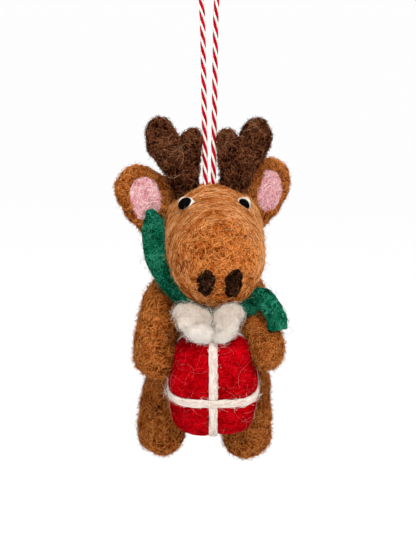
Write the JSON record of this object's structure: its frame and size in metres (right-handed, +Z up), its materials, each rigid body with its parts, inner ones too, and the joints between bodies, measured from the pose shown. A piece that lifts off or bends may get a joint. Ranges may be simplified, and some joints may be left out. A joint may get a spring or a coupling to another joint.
{
  "type": "hanging elk ornament",
  "caption": "Felted wool hanging ornament: a stuffed elk with antlers, ears and a scarf holds a ribboned gift and hangs from a twisted twine loop.",
  "frame": {"origin": "inner side of the twine loop's top, the point that bears on a hook", "axes": "+Z up along the hang, -Y the way the elk looks, +X the elk's left"},
  "size_m": [0.0618, 0.0601, 0.1784],
  "materials": {
    "head_wool": "needle-felted wool, matte, fine wound fibres",
    "body_wool": "needle-felted wool, matte, curly",
    "antler_wool": "needle-felted wool, matte, dark",
    "ear_pink": "needle-felted wool, matte, pale fibres",
    "eye_black": "dense felted wool, slight sheen",
    "nostril_wool": "needle-felted wool, matte, dark",
    "scarf_felt": "soft felt strip, mottled",
    "gift_wool": "needle-felted wool, matte, with pale stray fibres",
    "cream_wool": "loose wool roving, matte",
    "twine": "two-ply twisted cotton twine, one red and one off-white ply"
  },
  "bodies": {
    "hanger": {"twine_loop": "twine"},
    "figure": {"head": "head_wool", "twine_knot": "twine", "torso": "body_wool", "scarf": "scarf_felt", "gift_box": "gift_wool", "ribbon_front": "cream_wool", "ribbon_side": "cream_wool", "ribbon_girth": "cream_wool", "ear_right": "head_wool", "ear_left": "head_wool", "ear_lining_right": "ear_pink", "ear_lining_left": "ear_pink", "antler_right": "antler_wool", "antler_left": "antler_wool", "eye_surround_right": "cream_wool", "eye_surround_left": "cream_wool", "eye_right": "eye_black", "eye_left": "eye_black", "nostril_right": "nostril_wool", "nostril_left": "nostril_wool", "arm_right": "body_wool", "arm_left": "body_wool", "leg_right": "body_wool", "leg_left": "body_wool", "bow_right": "cream_wool", "bow_left": "cream_wool"}
  },
  "joints": [
    {"name": "loop_swing", "type": "hinge", "parent": "hanger", "child": "figure", "pos_m": [0.0005, 0, -0.077], "axis": [1, 0, 0], "range_deg": [-60, 60]}
  ]
}
